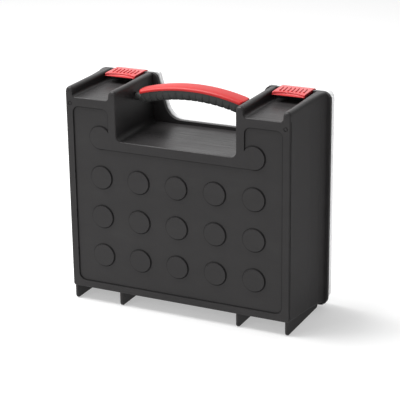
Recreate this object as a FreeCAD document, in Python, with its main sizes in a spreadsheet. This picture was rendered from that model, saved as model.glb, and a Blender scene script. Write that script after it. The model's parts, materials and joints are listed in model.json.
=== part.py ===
# Socket wrench set in a moulded carrying case.
# The case stands upright on the fins under its base shell.  +X is to the right when
# looking at the disc-covered base face, +Y runs from that face towards the clear lid,
# +Z is up.  The construction below measures Y from the base face; every finished piece
# is then shifted by y_shift so that the origin lies under the middle of the case.
import FreeCAD, Part
import math
import os
import re
from FreeCAD import Vector as V, Placement, Rotation

doc = FreeCAD.newDocument("socket_set_case")
sheet = doc.addObject("Spreadsheet::Sheet", "dims")

# ------------------------------------------------------------------ driving dimensions
DIMS = [
    # base shell
    ("half_front", 145.2), ("half_mid", 146.3), ("half_late", 148.4), ("half_rear", 151.6),
    ("bot_front", 17.5), ("bot_mid", 11.1), ("bot_late", 8.4), ("bot_rear", 6.8),
    ("top_z", 273.0), ("wall_t", 2.8), ("flange_y", 97.0), ("flange_th", 5.0),
    ("flange_half", 155.5), ("flange_bot", 3.2), ("notch_half", 78.0), ("notch_floor", 212.0),
    ("recess_in", 87.5), ("recess_out", 136.2), ("recess_floor", 261.0), ("deck_lip", 0.6),
    ("open_top", 73.7), ("open_low", 57.1), ("open_z", 216.5), ("open_r", 22.0),
    ("panel_depth", 1.5), ("lip_y", 1.7), ("disc_r", 13.8), ("disc_pitch", 50.0), ("disc_low", 64.0),
    ("fin_th", 4.0), ("fin_outer_x", 141.6), ("fin_inner_x", 78.5),
    # lid and its hinge
    ("lid_y", 102.3), ("lid_back", 113.0), ("lid_wall", 2.6), ("lid_half", 154.7), ("lid_bot", 8.2), ("lid_top", 272.5),
    ("ear_in", 90.2), ("ear_out", 133.0), ("ear_floor", 262.0),
    ("hinge_y", 107.6), ("hinge_z", 8.0), ("knuckle_r", 5.0), ("hinge_pin_r", 1.75), ("hinge_x", 82.0), ("pin_gap", 0.06),
    # latches
    ("latch_x", 111.6), ("latch_w", 41.6), ("latch_lip", 74.0),
    ("pivot_y", 106.0), ("pivot_z", 267.8), ("barrel_r", 4.8), ("latch_pin_r", 1.5),
    # carrying handle
    ("handle_y", 52.0), ("handle_end", 66.0), ("split_z", 271.9), ("arch_r", 230.0), ("handle_axis", 255.6),
    ("boss_r", 5.2), ("boss_end", 77.6), ("handle_pin_r", 3.0),
    # foam
    ("deck_y", 92.0), ("foam_low", 45.0), ("insert_x", 87.6), ("pocket_gap", 0.6),
    # drives
    ("square_half", 12.7), ("square_quarter", 6.35),
    ("y_shift", -56.5),
]
D = {}
for i, (alias, value) in enumerate(DIMS):
    sheet.set("A%d" % (i + 1), alias)
    sheet.set("B%d" % (i + 1), str(value))
    sheet.setAlias("B%d" % (i + 1), alias)
    D[alias] = value
# tools: size tables, one set of cells per tool
SOCKETS = []
place = -131.0
for size, od, od_dr, length in ((27, 36.0, 30.0, 44.0), (24, 32.6, 28.0, 42.0), (22, 30.2, 26.0, 42.0), (21, 28.8, 26.0, 40.0),
                                (19, 26.4, 25.0, 40.0), (18, 25.2, 25.0, 38.0), (17, 24.0, 24.0, 38.0)):
    place += od / 2.0
    SOCKETS.append(("half_inch_socket_%d" % size, float(size), od, od_dr, length, D["square_half"], round(place, 2), 46.0, 100.0, 0))
    place += od / 2.0 + 9.0
place = -118.0
for size, od in ((15, 21.0), (14, 20.2), (13, 19.0), (12, 17.6), (11, 16.4), (10, 15.2)):
    SOCKETS.append(("half_inch_socket_%d" % size, float(size), od, 22.0, 38.0, D["square_half"], place, 80.0, 100.0, 0))
    place += 27.0
for size, od, px, pz in ((4, 6.9, -99.0, 222.0), (5, 8.2, -113.5, 222.0), (6, 9.6, -128.0, 222.0), (7, 10.8, -106.0, 243.0), (8, 12.0, -121.5, 243.0)):
    SOCKETS.append(("quarter_inch_socket_%d" % size, float(size), od, 12.0, 25.0, D["square_quarter"], px, pz, 99.0, -1))
for size, od, px, pz in ((9, 13.0, 98.5, 221.0), (10, 14.4, 113.0, 221.0), (11, 15.8, 129.0, 221.0), (12, 17.0, 103.0, 244.0), (13, 18.2, 125.0, 244.0)):
    SOCKETS.append(("quarter_inch_socket_%d" % size, float(size), od, min(od, 13.0), 25.0, D["square_quarter"], px, pz, 99.0, 1))
RATCHETS = [("half_inch_ratchet", 1.0, -110.0, 112.0, 75.0, D["square_half"], 14.0, 244.0, 112.0),
            ("quarter_inch_ratchet", 0.62, -122.0, 190.0, 83.0, D["square_quarter"], 8.0, 136.0, 62.0)]
BARS = [("long_extension_bar", -128.0, 122.0, 141.0, 88.0, 11.4, 7.6, D["square_half"], 15.0, 30.0),
        ("short_extension_bar", -128.0, -3.0, 166.0, 88.0, 11.4, 7.6, D["square_half"], 15.0, 30.0),
        ("small_extension_bar", 8.0, 104.0, 166.0, 91.0, 6.2, 3.8, D["square_quarter"], 8.0, 16.0)]
ROW = [len(DIMS) + 1]


def add_dims(label, words, numbers):
    for word, number in zip(words, numbers):
        alias = label + word
        sheet.set("A%d" % ROW[0], alias)
        sheet.set("B%d" % ROW[0], str(number))
        sheet.setAlias("B%d" % ROW[0], alias)
        ROW[0] += 1
        D[alias] = number


for entry in SOCKETS:
    add_dims(entry[0], ("_af", "_od", "_dd", "_len", "_sq", "_cx", "_cz", "_top"), entry[1:])
for entry in RATCHETS:
    add_dims(entry[0], ("_k", "_hx", "_hz", "_y", "_sq", "_sql", "_long", "_grip"), entry[1:])
for entry in BARS:
    add_dims(entry[0], ("_xa", "_xb", "_cz", "_cy", "_rf", "_rr", "_sq", "_sql", "_lf"), entry[1:])
doc.recompute()

WORD = re.compile(r"[a-z][a-z0-9_]*")


def tied(text):
    """An expression in which every alias points at its cell."""
    return WORD.sub(lambda w: "dims." + w.group(0) if w.group(0) in D else w.group(0), str(text))


def bind(obj, **props):
    for prop, text in props.items():
        obj.setExpression(prop.replace("__", "."), tied(text))
    return obj


# ------------------------------------------------------------------ building blocks
COUNT = [0]


def fresh(kind, name=None):
    COUNT[0] += 1
    return doc.addObject(kind, name or ("piece_%03d" % COUNT[0]))


def at(obj, x, y, z, turn=None):
    if turn is not None:
        obj.Placement = Placement(V(0, 0, 0), turn)
    bind(obj, Placement__Base__x=x, Placement__Base__y=y, Placement__Base__z=z)
    return obj


ALONG_Y = Rotation(V(1, 0, 0), -90)
ALONG_X = Rotation(V(0, 1, 0), 90)


def box(x0, x1, y0, y1, z0, z1):
    b = fresh("Part::Box")
    bind(b, Length="(%s)-(%s)" % (x1, x0), Width="(%s)-(%s)" % (y1, y0), Height="(%s)-(%s)" % (z1, z0))
    return at(b, x0, y0, z0)


def cyl_y(r, x, z, y0, y1):
    c = fresh("Part::Cylinder")
    bind(c, Radius=r, Height="(%s)-(%s)" % (y1, y0))
    return at(c, x, y0, z, ALONG_Y)


def cyl_x(r, y, z, x0, x1):
    c = fresh("Part::Cylinder")
    bind(c, Radius=r, Height="(%s)-(%s)" % (x1, x0))
    return at(c, x0, y, z, ALONG_X)


def cone_y(r0, r1, x, z, y0, y1):
    c = fresh("Part::Cone")
    bind(c, Radius1=r0, Radius2=r1, Height="(%s)-(%s)" % (y1, y0))
    return at(c, x, y0, z, ALONG_Y)


def cone_x(r0, r1, y, z, x0, x1):
    c = fresh("Part::Cone")
    bind(c, Radius1=r0, Radius2=r1, Height="(%s)-(%s)" % (x1, x0))
    return at(c, x0, y, z, ALONG_X)


def hex_y(across, x, z, y0, y1):
    p = fresh("Part::Prism")
    p.Polygon = 6
    bind(p, Circumradius="(%s)/1.7320508" % across, Height="(%s)-(%s)" % (y1, y0))
    return at(p, x, y0, z, ALONG_Y)


def wedge(y0, y1, near, far):
    """A drafted block: near and far are (x low, x high, z low, z high) at y0 and at y1."""
    w = fresh("Part::Wedge")
    bind(w, Ymin=y0, Ymax=y1, Xmin=near[0], Xmax=near[1], Zmin=near[2], Zmax=near[3],
         X2min=far[0], X2max=far[1], Z2min=far[2], Z2max=far[3])
    return w


def fuse(shapes, name=None, refine=True):
    if len(shapes) == 1:
        return shapes[0]
    f = fresh("Part::MultiFuse", name)
    f.Shapes = shapes
    f.Refine = refine
    return f


def cut(base, tool, name=None, refine=True):
    c = fresh("Part::Cut", name)
    c.Base = base
    c.Tool = tool if not isinstance(tool, (list, tuple)) else fuse(list(tool), refine=False)
    c.Refine = refine
    return c


def common(a, b):
    c = fresh("Part::MultiCommon")
    c.Shapes = [a, b]
    return c


def middle(e):
    return e.valueAt((e.FirstParameter + e.LastParameter) / 2.0)


def rounded(base, radius, pick, name=None):
    """Rounds the edges of base for which pick(edge, its middle point) holds."""
    doc.recompute()
    chosen = [i + 1 for i, e in enumerate(base.Shape.Edges) if pick(e, middle(e))]
    if not chosen:
        raise RuntimeError("no edges to round on " + base.Name)
    f = fresh("Part::Fillet", name)
    f.Base = base
    f.Edges = [(i, radius, radius) for i in chosen]
    doc.recompute()
    if f.Shape.isNull() or not f.Shape.isValid():
        raise RuntimeError("rounding failed on " + base.Name)
    return f


def near(a, b, tol=0.05):
    return abs(a - b) < tol


def straight(e):
    return e.Curve.TypeId == "Part::GeomLine"


def corner_path(points, radii):
    """Lines and tangent arcs of a closed outline with rounded corners, in its own plane."""
    n = len(points)
    items, ends = [], []
    for i in range(n):
        p0, p, p1 = V(*points[i - 1], 0), V(*points[i], 0), V(*points[(i + 1) % n], 0)
        a, b = (p0 - p), (p1 - p)
        a.normalize(), b.normalize()
        r = radii[i]
        if r <= 0:
            ends.append((p, p, None))
            continue
        half = a.getAngle(b) / 2.0
        t = r / math.tan(half)
        bis = a + b
        bis.normalize()
        c = p + bis * (r / math.sin(half))
        mid = c - bis * r
        ends.append((p + a * t, p + b * t, mid))
    for i in range(n):
        s, e, m = ends[i]
        if m is not None:
            items.append(Part.Arc(s, m, e))
        nxt = ends[(i + 1) % n][0]
        if (nxt - e).Length > 1e-7:
            items.append(Part.LineSegment(e, nxt))
    return items


def shifted_outline(points, d):
    """The outline moved inwards by d (points run anticlockwise)."""
    n, out = len(points), []
    for i in range(n):
        (x0, y0), (x1, y1), (x2, y2) = points[i - 1], points[i], points[(i + 1) % n]
        ax, ay, bx, by = x1 - x0, y1 - y0, x2 - x1, y2 - y1
        la, lb = math.hypot(ax, ay), math.hypot(bx, by)
        n1, n2 = (-ay / la, ax / la), (-by / lb, bx / lb)
        p1, p2 = (x1 + n1[0] * d, y1 + n1[1] * d), (x1 + n2[0] * d, y1 + n2[1] * d)
        det = ax * by - ay * bx
        s = ((p2[0] - p1[0]) * by - (p2[1] - p1[1]) * bx) / det
        out.append((p1[0] + ax * s, p1[1] + ay * s))
    return out


def outline_xz(points, radii, y, depth):
    """A plate of that outline in the XZ plane, from y towards +Y."""
    s = fresh("Sketcher::SketchObject")
    s.Placement = Placement(V(0, 0, 0), Rotation(V(1, 0, 0), 90))
    s.setExpression("Placement.Base.y", tied(y))
    for g in corner_path(points, radii):
        s.addGeometry(g, False)
    e = fresh("Part::Extrusion")
    e.Base = s
    e.DirMode = "Custom"
    e.Dir = V(0, 1, 0)
    e.Solid = True
    bind(e, LengthFwd=depth)
    return e


def plane_of(body, role):
    return [f for f in body.Origin.OriginFeatures if f.Role == role][0]


def body_sketch(body, role, off=(0, 0, 0), off_z=None):
    COUNT[0] += 1
    s = body.newObject("Sketcher::SketchObject", "profile_%03d" % COUNT[0])
    s.AttachmentSupport = [(plane_of(body, role), "")]
    s.MapMode = "FlatFace"
    s.AttachmentOffset = Placement(V(*off), Rotation())
    if off_z is not None:
        s.setExpression("AttachmentOffset.Base.z", tied(off_z))
    return s


def draw(s, points, radii):
    for g in corner_path(points, radii):
        s.addGeometry(g, False)
    return s


def feature(body, kind, s, **props):
    COUNT[0] += 1
    f = body.newObject("PartDesign::" + kind, "%s_%03d" % (kind.lower(), COUNT[0]))
    f.Profile = s
    for k, v in props.items():
        if k in ("Length", "Length2", "Angle") and isinstance(v, str):
            f.setExpression(k, tied(v))
        else:
            setattr(f, k, v)
    doc.recompute()
    return f


PARTS = []


def finish(obj, label):
    """Names a finished piece and carries it into the frame of the whole case."""
    obj.Label = label
    bound = dict((k.lstrip("."), v) for k, v in obj.ExpressionEngine)
    already = bound.get("Placement.Base.y")
    obj.setExpression("Placement.Base.y", tied("y_shift") if already is None else "%s + %s" % (already, tied("y_shift")))
    PARTS.append(obj)
    return obj


# ================================================================== base shell
def mirror_pts(right):
    """A closed outline from its right half, given from the bottom middle upwards."""
    return right + [(-x, z) for x, z in reversed(right)]



def section_xz(points, radii, y):
    s = fresh("Sketcher::SketchObject")
    s.Placement = Placement(V(0, 0, 0), Rotation(V(1, 0, 0), 90))
    s.setExpression("Placement.Base.y", tied(y))
    for g in corner_path(points, radii):
        s.addGeometry(g, False)
    return s


def drafted(sections):
    """A solid drawn through rounded rectangles: (y, half width, bottom, top, top radius, bottom radius)."""
    lo = fresh("Part::Loft")
    lo.Sections = [section_xz([(-h, b), (h, b), (h, t), (-h, t)], [rb, rb, rt, rt], y) for y, h, b, t, rt, rb in sections]
    lo.Solid = True
    lo.Ruled = True
    return lo


block = drafted([("0", D["half_front"], D["bot_front"], D["top_z"], 6.2, 3.0),
                 ("60", D["half_mid"], D["bot_mid"], D["top_z"], 6.2, 3.0),
                 ("85", D["half_late"], D["bot_late"], D["top_z"], 6.2, 3.0),
                 ("flange_y+1", D["half_rear"], D["bot_rear"], D["top_z"], 6.2, 3.0)])
notch = box("-notch_half", "notch_half", "-5", "flange_y+5", "notch_floor", "top_z+30")
notch = rounded(notch, 7.0, lambda e, m: near(m.z, D["notch_floor"]) and abs(m.x) > 70)
block = cut(block, notch)
for side in (-1, 1):
    lo = ("recess_in", "recess_out") if side > 0 else ("-recess_out", "-recess_in")
    recess = box(lo[0], lo[1], "-5", "flange_y+20", "recess_floor", "top_z+30")
    recess = rounded(recess, 4.0, lambda e, m: near(m.z, D["recess_floor"]) and near(m.y, 56, 10))
    block = cut(block, recess)
# soft ridges of the cheeks, then the crisp edge round the face
block = rounded(block, 2.6, lambda e, m: near(m.z, D["top_z"]) and e.Length > 9 and abs(m.x) > 70
                and (near(abs(m.x), D["notch_half"]) or near(abs(m.x), D["recess_in"]) or near(abs(m.x), D["recess_out"])))
block = rounded(block, 1.6, lambda e, m: near(m.y, 0, 0.01))

# rear flange with the hand opening
u_right = [(D["open_low"], D["open_z"]), (D["open_top"], D["top_z"])]
fl = [(-D["flange_half"], D["flange_bot"]), (D["flange_half"], D["flange_bot"]), (D["flange_half"], D["top_z"]),
      (D["open_top"], D["top_z"]), (D["open_low"], D["open_z"]), (-D["open_low"], D["open_z"]),
      (-D["open_top"], D["top_z"]), (-D["flange_half"], D["top_z"])]
plate = outline_xz(fl, [10.0, 10.0, 10.5, 9.0, D["open_r"], D["open_r"], 9.0, 10.5], "flange_y", "flange_th")
for side in (-1, 1):
    lo = ("ear_in-0.2", "ear_out+0.2") if side > 0 else ("-(ear_out+0.2)", "-(ear_in-0.2)")
    plate = cut(plate, box(lo[0], lo[1], "flange_y-5", "flange_y+20", "recess_floor", "top_z+30"))
shell = fuse([block, plate])
# hollow inside, open towards the lid
inner_top = D["recess_floor"] - D["wall_t"]
hollow = drafted([("wall_t", D["half_front"] - D["wall_t"], D["bot_front"] + D["wall_t"] - 0.3, inner_top, 4.0, 4.0),
                  ("60", D["half_mid"] - D["wall_t"], D["bot_mid"] + D["wall_t"], inner_top, 4.0, 4.0),
                  ("flange_y+flange_th+5", D["half_rear"] - 3.2, D["bot_rear"] + D["wall_t"] - 0.6, inner_top, 4.0, 4.0)])
tunnel = box("-(notch_half+wall_t)", "notch_half+wall_t", "-5", "flange_y+flange_th+10", "notch_floor-wall_t", "top_z+30")
tunnel = rounded(tunnel, 9.0, lambda e, m: near(m.z, D["notch_floor"] - D["wall_t"]) and abs(m.x) > 70)
hollow = cut(hollow, tunnel)
shell = cut(shell, hollow)

# recessed field with raised discs on the face
field = [(-136.0, 26.6), (136.0, 26.6), (136.0, 250.0), (88.5, 250.0), (88.5, 214.0), (100.0, 214.0), (100.0, 200.2),
         (-100.0, 200.2), (-100.0, 214.0), (-88.5, 214.0), (-88.5, 250.0), (-136.0, 250.0)]
panel = outline_xz(field, [9, 9, 8, 8, 0, 0, 0, 0, 0, 0, 8, 8], "-1", "panel_depth+1")
discs = []
for row in range(3):
    for col in range(-2, 3):
        discs.append(cone_y("disc_r-0.35", "disc_r+0.25", "%d*disc_pitch" % col, "disc_low+%d*disc_pitch" % row, "-1", "panel_depth+0.5"))
for col in (-2, 2):
    discs.append(cone_y("disc_r-0.35", "disc_r+0.25", "%d*disc_pitch" % col, "disc_low+3*disc_pitch", "-1", "panel_depth+0.5"))
shell = cut(shell, cut(panel, discs))
dimples = [cyl_y("2.5", x, "top_z-20", "-1", "1.0") for x in ("-139.6", "139.6")]
# fine grooves that part the face from the side walls
grooves = [box("half_front-0.75", "half_front+9", "lip_y", "lip_y+1.8", "bot_front+4", "top_z-7.5"),
           box("-(half_front+9)", "-(half_front-0.75)", "lip_y", "lip_y+1.8", "bot_front+4", "top_z-7.5")]
shell = cut(shell, dimples + grooves)

# fins, hinge knuckles, handle pin bosses
adds = []
for x in ("-fin_outer_x", "-fin_inner_x", "fin_inner_x", "fin_outer_x"):
    fin = wedge("1.2", "96.5", ("%s-fin_th/2" % x, "%s+fin_th/2" % x, "0", "bot_front+1"),
                ("%s-fin_th/2" % x, "%s+fin_th/2" % x, "0", "bot_rear+1"))
    fin = rounded(fin, 4.0, lambda e, m: near(m.z, 0) and near(e.Length, D["fin_th"], 0.01))
    fin = rounded(fin, 1.2, lambda e, m: m.z < 5 and e.Length > 3.0 and not near(m.z, 0.0, 0.3) and abs(m.x % 1) > -1 and
                  e.Length < 12 or (near(m.z, 0.0, 0.01) and e.Length > 50))
    adds.append(fin)
for side in (-1, 1):
    for k in (-1, 1):
        x0 = "%d*hinge_x + %d*22 - 7" % (side, k)
        x1 = "%d*hinge_x + %d*22 + 7" % (side, k)
        adds.append(cyl_x("knuckle_r", "hinge_y", "hinge_z", x0, x1))
        adds.append(box(x0, x1, "flange_y+2", "hinge_y", "flange_bot", "hinge_z+knuckle_r"))
    xs = ("notch_half+1", "notch_half+9") if side > 0 else ("-(notch_half+9)", "-(notch_half+1)")
    adds.append(cyl_x("boss_r", "handle_y", "handle_axis", xs[0], xs[1]))
shell = fuse([shell] + adds)
drills = []
for side in (-1, 1):
    drills.append(cyl_x("hinge_pin_r+0.02", "hinge_y", "hinge_z", "%d*hinge_x-28.5" % side, "%d*hinge_x+28.5" % side))
    xs = ("notch_half-2", "notch_half+7.5") if side > 0 else ("-(notch_half+7.5)", "-(notch_half-2)")
    drills.append(cyl_x("handle_pin_r+0.02", "handle_y", "handle_axis", xs[0], xs[1]))
    # room for the lid knuckle between the base knuckles
    drills.append(cyl_x("knuckle_r+0.5", "hinge_y", "hinge_z", "%d*hinge_x-14.6" % side, "%d*hinge_x+14.6" % side))
shell = cut(shell, drills)
doc.recompute()
# tower tops: the two cheeks on each tower, standing on the level deck of the shell,
# and between them the rib that the latch hooks over
above = fuse([box("60", "170", "-10", "flange_y+20", "recess_floor+deck_lip", "top_z+30"),
              box("-170", "-60", "-10", "flange_y+20", "recess_floor+deck_lip", "top_z+30")], refine=False)
tops = fresh("Part::Compound")
tops.Links = [common(shell, above)] + [
    cut(box(xs[0], xs[1], "92", "94.6", "recess_floor-1", "recess_floor+3.6"), shell)
    for xs in (("recess_in-1", "recess_out+1"), ("-(recess_out+1)", "-(recess_in-1)"))]
deck = cut(shell, above)
doc.recompute()
finish(deck, "base_shell")
finish(tops, "tower_tops")


# ================================================================== clear lid
def lid_outline(grow):
    """Outline of the lid with the hand opening and the two latch gaps, moved inwards by grow."""
    h, b, t = D["lid_half"], D["lid_bot"], D["lid_top"]
    ot, ol, oz = D["open_top"] + 0.8, D["open_low"] + 0.8, D["open_z"] - 0.6
    pts = [(-h, b), (h, b), (h, t), (D["ear_out"], t), (D["ear_out"], D["ear_floor"]), (D["ear_in"], D["ear_floor"]),
           (D["ear_in"], t), (ot, t), (ol, oz), (-ol, oz), (-ot, t), (-D["ear_in"], t), (-D["ear_in"], D["ear_floor"]),
           (-D["ear_out"], D["ear_floor"]), (-D["ear_out"], t), (-h, t)]
    rad = [9.0, 9.0, 9.5, 1.5, 1.5, 1.5, 1.5, 4.0, D["open_r"], D["open_r"], 4.0, 1.5, 1.5, 1.5, 1.5, 9.5]
    return pts, rad


lid = doc.addObject("PartDesign::Body", "lid_body")
pts, rad = lid_outline(0)
s1 = draw(body_sketch(lid, "XZ_Plane", off_z="-lid_y"), pts, rad)
feature(lid, "Pad", s1, Length="lid_back-lid_y", Reversed=True)
w = D["lid_wall"]
h, b = D["lid_half"] - w, D["lid_bot"] + w
ot, ol, oz = D["open_top"] + 0.8 + w, D["open_low"] + 0.8 + w * 0.8, D["open_z"] - 0.6 - w
et = D["ear_floor"] - w
inner = [(-h, b), (h, b), (h, et), (ot - 3.0, et), (ol, oz), (-ol, oz), (-ot + 3.0, et), (-h, et)]
s2 = draw(body_sketch(lid, "XZ_Plane", off_z="-lid_y"), inner, [7.0, 7.0, 6.0, 4.0, D["open_r"] + w, D["open_r"] + w, 4.0, 6.0])
before = lid.Shape.Volume
f2 = feature(lid, "Pocket", s2, Length="lid_back-lid_y-lid_wall")
if lid.Shape.Volume > before - 1000:
    f2.Reversed = not f2.Reversed
    doc.recompute()
# raised window step on the outside
step = shifted_outline(inner, 9.0)
s3 = draw(body_sketch(lid, "XZ_Plane", off_z="-lid_back"), step, [8.0, 8.0, 6.0, 5.0, D["open_r"], D["open_r"], 5.0, 6.0])
before = lid.Shape.Volume
f3 = feature(lid, "Pocket", s3, Length=0.8)
if lid.Shape.Volume > before - 1000:
    f3.Reversed = not f3.Reversed
    doc.recompute()
print("lid volume", round(before), round(lid.Shape.Volume))
lid_round = rounded(lid, 1.0, lambda e, m: near(m.y, D["lid_back"], 0.01) and abs(m.x) > 150)
lid_adds, lid_cuts = [], []
for side in (-1, 1):
    x0, x1 = "%d*hinge_x-14" % side, "%d*hinge_x+14" % side
    lid_adds.append(cyl_x("knuckle_r", "hinge_y", "hinge_z", x0, x1))
    lid_adds.append(box(x0, x1, "hinge_y-knuckle_r", "hinge_y+knuckle_r", "hinge_z", "hinge_z+7"))
    lid_cuts.append(cyl_x("hinge_pin_r+pin_gap", "hinge_y", "hinge_z", "%d*hinge_x-15" % side, "%d*hinge_x+15" % side))
    lid_cuts.append(cyl_x("latch_pin_r+0.02", "pivot_y", "pivot_z", "%d*latch_x-30" % side, "%d*latch_x+30" % side))
    for k in (-1, 1):
        # gaps that let the base knuckles through
        lid_cuts.append(box("%d*hinge_x+%d*22-7.6" % (side, k), "%d*hinge_x+%d*22+7.6" % (side, k), "lid_y-2", "lid_back+2",
                            "0", "hinge_z+knuckle_r+0.6"))
lid_done = cut(fuse([lid_round] + lid_adds), lid_cuts)
doc.recompute()
finish(lid_done, "clear_lid")

hinge_pins = fuse([cyl_x("hinge_pin_r", "hinge_y", "hinge_z", "%d*hinge_x-28.2" % k, "%d*hinge_x+28.2" % k) for k in (-1, 1)])
finish(hinge_pins, "hinge_pins")
latch_pins = fuse([cyl_x("latch_pin_r", "pivot_y", "pivot_z", "%d*latch_x-29.5" % k, "%d*latch_x+29.5" % k) for k in (-1, 1)])
finish(latch_pins, "latch_pins")

# ================================================================== latches
def latch(side, label):
    """Lever on its barrel; front lip with a scooped edge, rib grip on top, hook nib underneath."""
    b = doc.addObject("PartDesign::Body", label + "_body")
    lip, py, pz = D["latch_lip"], D["pivot_y"], D["pivot_z"]
    prof = [(lip, 269.8), (lip + 10, 270.2), (py - 6.5, 270.2), (py - 4.8, 266.0), (py + 3.0, 265.0), (py + 4.6, 267.8),
            (py + 3.6, 272.2), (py - 1.0, 273.8), (lip + 6, 273.4), (lip, 272.8)]
    s = draw(body_sketch(b, "YZ_Plane", off_z="%d*latch_x" % side), prof, [1.2, 0, 1.5, 0, 0, 0, 2.5, 6.0, 20.0, 1.2])
    feature(b, "Pad", s, Length="latch_w", Midplane=True)
    lever = fuse([b, cyl_x("barrel_r", "pivot_y", "pivot_z", "%d*latch_x-latch_w/2" % side, "%d*latch_x+latch_w/2" % side),
                  box("%d*latch_x-9" % side, "%d*latch_x+9" % side, "88.4", "91.2", "265.2", "271")])
    scoop = fresh("Part::Cylinder")
    bind(scoop, Radius="90", Height="30")
    at(scoop, "%d*latch_x" % side, "latch_lip-90+2.6", "260")
    lever = cut(lever, [scoop, cyl_x("latch_pin_r+pin_gap", "pivot_y", "pivot_z", "%d*latch_x-30" % side, "%d*latch_x+30" % side)])
    ribs = []
    for k in range(-3, 4):
        r = fresh("Part::Box")
        bind(r, Length="1.3", Width="17", Height="1.5")
        r.Placement = Placement(V(0, 0, 0), Rotation(V(0, 0, 1), -24))
        bind(r, Placement__Base__x="%d*latch_x+%r" % (side, k * 5.0 - 4.2), Placement__Base__y="84", Placement__Base__z="272.9")
        ribs.append(r)
    lever = fuse([lever] + ribs)
    doc.recompute()
    return finish(lever, label)


latch(-1, "latch_left")
latch(1, "latch_right")

# ================================================================== carrying handle
def arch(points, radii, half_deg):
    """A section in the YZ plane turned about the arch's centre line."""
    s = fresh("Sketcher::SketchObject")
    s.Placement = Placement(V(0, 0, 0), Rotation(V(1, 1, 1), 120))
    for g in corner_path(points, radii):
        s.addGeometry(g, False)
    r = fresh("Part::Revolution")
    r.Source = s
    r.Axis = V(0, 1, 0)
    r.Base = V(0, D["handle_y"], D["split_z"] - D["arch_r"])
    r.Angle = 2 * half_deg
    r.Symmetric = True
    r.Solid = True
    return r


hy, sz = D["handle_y"], D["split_z"]
half_deg = math.degrees(math.asin(D["handle_end"] / D["arch_r"]))
core = arch([(hy - 12.6, sz), (hy - 12.6, sz - 8.6), (hy - 6, sz - 12.8), (hy + 6, sz - 12.8), (hy + 12.6, sz - 8.6), (hy + 12.6, sz)],
            [0, 4.0, 5.0, 5.0, 4.0, 0], half_deg)
grip = arch([(hy - 13.0, sz + 0.05), (hy + 13.0, sz + 0.05), (hy + 13.0, sz + 1.6), (hy + 7.0, sz + 4.6), (hy - 7.0, sz + 4.6), (hy - 13.0, sz + 1.6)],
            [0, 0, 2.0, 4.0, 4.0, 2.0], half_deg)
core_bits = [core]
for side in (-1, 1):
    xs = ("handle_end-9", "boss_end") if side > 0 else ("-boss_end", "-(handle_end-9)")
    core_bits.append(cyl_x("boss_r", "handle_y", "handle_axis", xs[0], xs[1]))
    xs = ("handle_end-10", "handle_end+4") if side > 0 else ("-(handle_end+4)", "-(handle_end-10)")
    lug = box(xs[0], xs[1], "handle_y-9", "handle_y+9", "handle_axis-4.9", "handle_axis+4.9")
    core_bits.append(rounded(lug, 4.0, lambda e, m: e.Length > 5 and abs(m.x) > 56.5 and (m.z < D["handle_axis"] - 4.8 or abs(m.x) > 69.9)))
core_done = cut(fuse(core_bits), [cyl_x("handle_pin_r+pin_gap", "handle_y", "handle_axis", "%d*handle_end+%d" % (k, -8 if k > 0 else -20),
                                        "%d*handle_end+%d" % (k, 20 if k > 0 else 8)) for k in (-1, 1)])
doc.recompute()
finish(core_done, "handle_core")
finish(grip, "handle_grip")
handle_pins = fuse([cyl_x("handle_pin_r", "handle_y", "handle_axis", "handle_end-6", "notch_half+7.2"),
                    cyl_x("handle_pin_r", "handle_y", "handle_axis", "-(notch_half+7.2)", "-(handle_end-6)")])
finish(handle_pins, "handle_pivot_pins")


# ================================================================== tools
POCKETS, LEFT_POCKETS, RIGHT_POCKETS = [], [], []


def socket(label, across, od_hex, od_drive, long, square, x, z, top, where):
    """A six-point socket standing on its square end, hexagon towards the lid."""
    key = label
    pockets = {0: POCKETS, -1: LEFT_POCKETS, 1: RIGHT_POCKETS}[where]
    c = lambda t: t.replace("#", key)
    low, up = c("#_top-#_len"), c("#_top")
    x_, z_ = c("#_cx"), c("#_cz")
    m0, m1 = c("#_top-#_len*0.56"), c("#_top-#_len*0.47")
    bits = [cone_y(c("#_dd/2-0.8"), c("#_dd/2"), x_, z_, low, low + "+0.8"),
            cyl_y(c("#_dd/2"), x_, z_, low + "+0.8", m0)]
    if abs(od_hex - od_drive) > 0.05:
        bits.append(cone_y(c("#_dd/2"), c("#_od/2"), x_, z_, m0, m1))
    else:
        bits.append(cyl_y(c("#_dd/2"), x_, z_, m0, m1))
    bits += [cyl_y(c("#_od/2"), x_, z_, m1, up + "-0.8"), cone_y(c("#_od/2"), c("#_od/2-0.8"), x_, z_, up + "-0.8", up)]
    holes = [hex_y(c("#_af+0.2"), x_, z_, c("#_top-#_len*0.45"), up + "+1"),
             cyl_y(c("#_sq*0.36"), x_, z_, low + "+1", up),
             box(c("#_cx-#_sq/2-0.1"), c("#_cx+#_sq/2+0.1"), low + "-1", c("#_top-#_len+#_sq*1.1"), c("#_cz-#_sq/2-0.1"), c("#_cz+#_sq/2+0.1"))]
    body = cut(fuse(bits), holes)
    doc.recompute()
    finish(body, label)
    pockets.append(cyl_y("%r+pocket_gap" % (max(od_hex, od_drive) / 2.0), x_, z_, low + "-0.3", "deck_y+5"))


for entry in SOCKETS:
    socket(*entry)


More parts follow.
